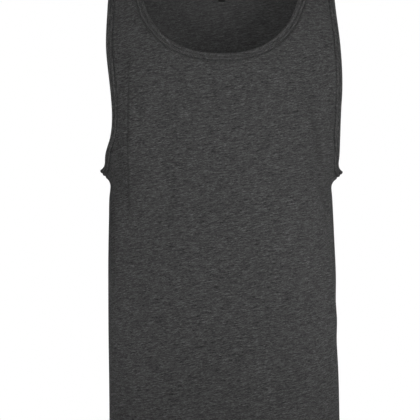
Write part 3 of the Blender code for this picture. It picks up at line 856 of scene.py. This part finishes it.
def stitch_shape():
    """One stitch: a low mound of thread, pointed at both ends. Length 1 along X."""
    turn = np.linspace(0, 2 * np.pi, STITCH_SIDES, endpoint=False)
    points = [(x, r * np.cos(t) / 2, r * np.sin(t) / 2) for x, r in STITCH_RINGS for t in turn]
    numbers = np.arange(len(points)).reshape(len(STITCH_RINGS), STITCH_SIDES)
    return np.array(points), grid_faces(closed(numbers.T).T)[:, ::-1]


def make_stitches(name, rows, material):
    """Stitches laid along rows. A row is a closed line of points with their normals, its
    places counted in stitches, and their count.
    """
    shape, shape_faces = stitch_shape()
    all_points, all_faces = [], []
    first = 0
    for laid, turns, count in rows:
        middles = np.arange(count) + 0.5
        reach = STITCH_LONG / STITCH_STEP / 2
        ends = [read_row(laid[:, :3], turns, middles + end) for end in (-reach, reach)]
        out = unit(read_row(laid[:, 3:], turns, middles))
        length = np.linalg.norm(ends[1] - ends[0], axis=1)[:, None, None]
        along = unit(ends[1] - ends[0])
        aside = np.cross(out, along)
        points = (
            ((ends[0] + ends[1]) / 2)[:, None]
            + along[:, None] * shape[None, :, :1] * length
            + aside[:, None] * shape[None, :, 1:2] * STITCH_WIDE
            + out[:, None] * shape[None, :, 2:] * STITCH_HIGH
        )
        numbers = first + np.arange(count)[:, None, None] * len(shape)
        first += count * len(shape)
        all_points.append(points.reshape(-1, 3))
        all_faces.append((numbers + shape_faces[None]).reshape(-1, 4))
    points, faces = np.concatenate(all_points), np.concatenate(all_faces)
    return make_piece(name, points, faces, points[:, :2], material, ())


def read_row(values, turns, at):
    return np.column_stack([np.interp(at, turns, values[:, k]) for k in range(3)])


def band_stitches(name, stretch_list, material):
    """Rows of stitches on a binding, each from needle hole to needle hole."""
    rows = []
    for from_lip in BAND_ROWS:
        floor = np.interp(from_lip, *stitch_floor())

        def lay(cloth, lip, turn):
            places = cloth.moved(lip, turn * from_lip)
            return raised(cloth, places, band_fullness(cloth, lip) * floor + STITCH_HIGH / 4)

        rows.append((closed(joined(stretch_list, lay)), *lip_turns(stretch_list)))
    return make_stitches(name, rows, material)


def stitch_floor():
    """Height of the outside of a binding over the distance from its lip."""
    outside = BAND_PROFILE[BAND_LIP_ROW::-1]
    return column(outside, BAND_COLUMNS, "from_lip"), column(outside, BAND_COLUMNS, "out")


def hem_stitches(clothes, material):
    """Two rows of stitches all round the hem."""
    rows = []
    across = np.linspace(-1, 1, HEM_POINTS)
    for run in HEM_ROWS:
        places = np.column_stack((across, np.full(HEM_POINTS, run)))
        out = SKIN + hem_relief(np.array(run)) + STITCH_HIGH / 2
        halves = [(cloth, places, 1, cloth.facing > 0) for cloth in clothes]
        laid = closed(joined(halves, lambda cloth, spots, _: raised(cloth, spots, out)))
        rows.append((laid, *in_stitches(laid[:, :3])))
    return make_stitches("hem_stitches", rows, material)


def make_label(back, material):
    """A small bare label inside the back, hanging from the binding."""
    top = back.moved(back.neck(), BAND)[CURVE_POINTS // 2, 1]
    half = LABEL_WIDTH / 2 / back.half(np.zeros(1), np.array([top]))[0]
    rows, columns = LABEL_POINTS
    runs = np.linspace(top - LABEL_LENGTH, top, rows)
    across = np.linspace(-half, half, columns)
    places = np.stack(np.meshgrid(across, runs), axis=-1).reshape(-1, 2)
    faces = grid_faces(np.arange(rows * columns).reshape(rows, columns))
    uv = np.column_stack((places[:, 0] * LABEL_WIDTH / 2 / half, places[:, 1]))
    outs = (-LABEL_CLEAR, -LABEL_CLEAR - LABEL_WALL)
    points, skins, uv = two_skins(back, places, outs, faces, uv)
    nodes = ("neck_label",)
    piece = make_piece("label_tape", points, skins[:, ::-1], uv, material, nodes)


# ---- materials


class Nodes:
    """The nodes of a material or a world. A value is a number, a colour or another's output."""

    def __init__(self, owner):
        owner.use_nodes = True
        self.tree = owner.node_tree

    def feed(self, node, values):
        """Feeds a node's inputs, given by name or by place."""
        for key, value in values.items():
            if isinstance(value, bpy.types.NodeSocket):
                self.tree.links.new(value, node.inputs[key])
            else:
                node.inputs[key].default_value = value

    def add(self, kind, values, **settings):
        node = self.tree.nodes.new("ShaderNode" + kind)
        for name, setting in settings.items():
            setattr(node, name, setting)
        self.feed(node, values)
        return node

    def noise(self, vector, scale, detail=2.0):
        values = {"Vector": vector, "Scale": scale, "Detail": detail}
        return self.add("TexNoise", values).outputs["Fac"]

    def mapped(self, vector, scale, turn=0.0, move=(0, 0, 0)):
        values = {"Vector": vector, "Scale": scale, "Rotation": (0, 0, turn), "Location": move}
        return self.add("Mapping", values).outputs["Vector"]

    def math(self, operation, first, second=0.0):
        values = {0: first, 1: second}
        return self.add("Math", values, operation=operation).outputs["Value"]

    def ramp(self, value, stops):
        """A colour ramp of (place, grey) stops."""
        node = self.add("ValToRGB", {"Fac": value})
        while len(node.color_ramp.elements) < len(stops):
            node.color_ramp.elements.new(0.5)
        for element, (place, grey) in zip(node.color_ramp.elements, stops):
            element.position = place
            element.color = (grey, grey, grey, 1)
        return node.outputs["Color"]

    def on_cloth(self):
        """Places on the flat cloth, in metres."""
        return self.add("UVMap", {}, uv_map="cloth").outputs["UV"]

    def in_space(self):
        return self.add("TexCoord", {}).outputs["Object"]

    def show(self, seen, otherwise, output):
        """Gives the camera's own rays one shader, and all the others another."""
        rays = self.add("LightPath", {}).outputs["Is Camera Ray"]
        mix = self.add("MixShader", {"Fac": rays, 1: otherwise, 2: seen})
        self.feed(self.tree.nodes[output], {"Surface": mix.outputs["Shader"]})


def new_material(name):
    """A material, its nodes and its shader."""
    material = bpy.data.materials.new(name)
    nodes = Nodes(material)
    return material, nodes, nodes.tree.nodes["Principled BSDF"]


def make_jersey(name, tone=1.0, turn=FLECK_TURN, closer=1.0, contrast=1.0):
    """Heather jersey: rows of knitted loops in a yarn of light and dark fibres."""
    material, nodes, shader = new_material(name)
    place = nodes.on_cloth()
    drift = {0: nodes.noise(place, DRIFT_WAVES, 1.0), 1: (0.0, DRIFT, 0.0), 2: place}
    drifted = nodes.add("VectorMath", drift, operation="MULTIPLY_ADD")
    turned = nodes.mapped(drifted.outputs["Vector"], (1, 1, 1), turn)
    parts = nodes.add("SeparateXYZ", {"Vector": turned}).outputs
    wale = nodes.math("FRACT", nodes.math("MULTIPLY", parts["X"], 1 / WALE))
    aside = nodes.math("ABSOLUTE", nodes.math("SUBTRACT", wale, 0.5))
    level = nodes.math("MULTIPLY", parts["Y"], 1 / COURSE)
    course = nodes.math("SUBTRACT", level, nodes.math("MULTIPLY", aside, LOOP_LEAN))
    row = nodes.math("FLOOR", course)
    yarn = nodes.add("CombineXYZ", {"X": parts["X"], "Y": row}).outputs["Vector"]
    layers = []
    for number, (per_metre, share) in enumerate(FLECKS):
        spread = (per_metre * closer, ROWS_APART, 1)
        moved = (FLECK_MOVES[0] * number, FLECK_MOVES[1], FLECK_MOVES[2] * number)
        layer = nodes.noise(nodes.mapped(yarn, spread, 0.0, moved), 1.0, 1.0)
        layers.append(nodes.math("MULTIPLY", layer, share))
    soft = nodes.noise(nodes.mapped(turned, SOFT_FLECKS), 1.0, 1.0)
    layers.append(nodes.math("MULTIPLY", soft, SOFT_SHARE))
    flecks = layers[0]
    for layer in layers[1:]:
        flecks = nodes.math("ADD", flecks, layer)
    in_row = nodes.math("FRACT", course)
    across_yarn = nodes.math("SINE", nodes.math("MULTIPLY", in_row, np.pi))
    across_leg = nodes.math("SINE", nodes.math("MULTIPLY", aside, 2 * np.pi))
    loops = nodes.math("MULTIPLY", across_yarn, across_leg)
    middle = FLECK_GREYS[len(FLECK_GREYS) // 2][1]
    greys = [(at, tone * (middle + contrast * (grey - middle))) for at, grey in FLECK_GREYS]
    # painted shade: the loop pattern darkens the colour in the gaps between the loops, besides
    # their bump
    colour, painted_gap_shade = nodes.ramp(flecks, greys), nodes.ramp(loops, LOOP_GAP_PAINTED_SHADE)
    mixed = {"Fac": 1.0, "Color1": colour, "Color2": painted_gap_shade}
    shaded = nodes.add("MixRGB", mixed, blend_type="MULTIPLY")
    bump = nodes.add("Bump", {"Strength": 0.5, "Distance": LOOP_BUMP, "Height": loops})
    nodes.feed(shader, {
        "Base Color": shaded.outputs["Color"],
        "Roughness": 0.92,
        "Specular IOR Level": 0.18,
        "Sheen Weight": 0.02,
        "Sheen Roughness": 0.5,
        "Normal": bump.outputs["Normal"],
    })
    return material


def make_thread(name):
    material, nodes, shader = new_material(name)
    twist = nodes.noise(nodes.in_space(), THREAD_GRAIN)
    nodes.feed(shader, {"Base Color": nodes.ramp(twist, THREAD_GREYS), "Roughness": 0.7})
    return material


def make_satin(name):
    material, nodes, shader = new_material(name)
    weave = nodes.noise(nodes.mapped(nodes.on_cloth(), SATIN_WEAVE), 1.0)
    nodes.feed(shader, {"Base Color": nodes.ramp(weave, SATIN_GREYS), "Roughness": 0.42})
    return material


def make_floor(name):
    """Pale for the camera, as the white behind it, with no glow that falls on the garment."""
    material, nodes, shader = new_material(name)
    pale = nodes.ramp(nodes.noise(nodes.in_space(), FLOOR_CLOUDS), FLOOR_GREYS)
    nodes.feed(shader, {"Base Color": pale, "Roughness": 0.8})
    glow = nodes.add("Emission", {"Strength": FLOOR_GLOW})
    plain = shader.outputs["BSDF"]
    both = nodes.add("AddShader", {0: plain, 1: glow.outputs["Emission"]})
    nodes.show(both.outputs["Shader"], plain, "Material Output")
    return material


# ---- studio


def add_camera():
    data = bpy.data.cameras.new("camera")
    data.sensor_width = SENSOR
    data.lens = SENSOR * CAMERA_AWAY / VIEW_HEIGHT
    data.clip_end = 50
    camera = add_object("camera", data)
    camera.location = Vector(LOOK_AT) - Vector((0, CAMERA_AWAY, 0))
    camera.rotation_euler = (np.pi / 2, 0, 0)
    bpy.context.scene.camera = camera


def add_lights():
    for light in by_name(LIGHTS, LIGHT_COLUMNS):
        data = bpy.data.lights.new(light["name"], "AREA")
        data.size = light["wide"]
        data.spread = np.radians(light["spread"])
        data.energy = light["watts"]
        lamp = add_object(light["name"], data)
        lamp.location = light["place"]
        aim = Vector((0, 0, light["aim_height"])) - Vector(light["place"])
        lamp.rotation_euler = aim.to_track_quat("-Z", "Y").to_euler()
        lamp.visible_camera = False


def set_world():
    """White behind the garment for the camera, and a dim even light for everything else."""
    world = bpy.data.worlds.new("studio")
    bpy.context.scene.world = world
    nodes = Nodes(world)
    dim = nodes.tree.nodes["Background"]
    nodes.feed(dim, {"Color": WHITE, "Strength": DIM})
    white = nodes.add("Background", {"Color": WHITE, "Strength": 1.0})
    nodes.show(white.outputs["Background"], dim.outputs["Background"], "World Output")


def add_floor():
    bpy.ops.mesh.primitive_circle_add(
        vertices=FLOOR_SIDES, radius=FLOOR_RADIUS, fill_type="NGON", location=(0, 0, FLOOR_HEIGHT)
    )
    floor = bpy.context.active_object
    floor.name = "floor"
    floor.data.materials.append(make_floor("floor"))


def build_garment():
    front = Cloth("front")
    back = Cloth("back", beside=front)
    jersey = make_jersey("heather_jersey")
    inside = make_jersey("heather_inside", turn=-FLECK_TURN, contrast=INSIDE_CONTRAST)
    band_jersey = make_jersey("heather_binding", BAND_TONE, BAND_TURN, BAND_CLOSER)
    thread = make_thread("thread")
    clothes = (front, back)
    hem = hem_stitches(clothes, thread)
    make_panel(front, jersey, inside)
    make_panel(back, jersey, inside)
    neck = band_stretches(clothes, lambda cloth: cloth.neck(), 1)
    stitches = band_stitches("neck_stitches", neck, thread)
    make_band("neck_band", neck, band_jersey, "neck_binding")
    for side, word in ((-1, "left"), (1, "right")):
        hole = band_stretches(clothes, lambda cloth: cloth.armhole(side), -side)
        stitches = band_stitches(f"armhole_stitches_{word}", hole, thread)
        node = f"armhole_binding_{word}"
        make_band(f"armhole_band_{word}", hole, band_jersey, node)
    make_label(back, make_satin("label_satin"))


bpy.context.scene.view_settings.view_transform = "Standard"
add_camera()
add_lights()
set_world()
add_floor()
build_garment()
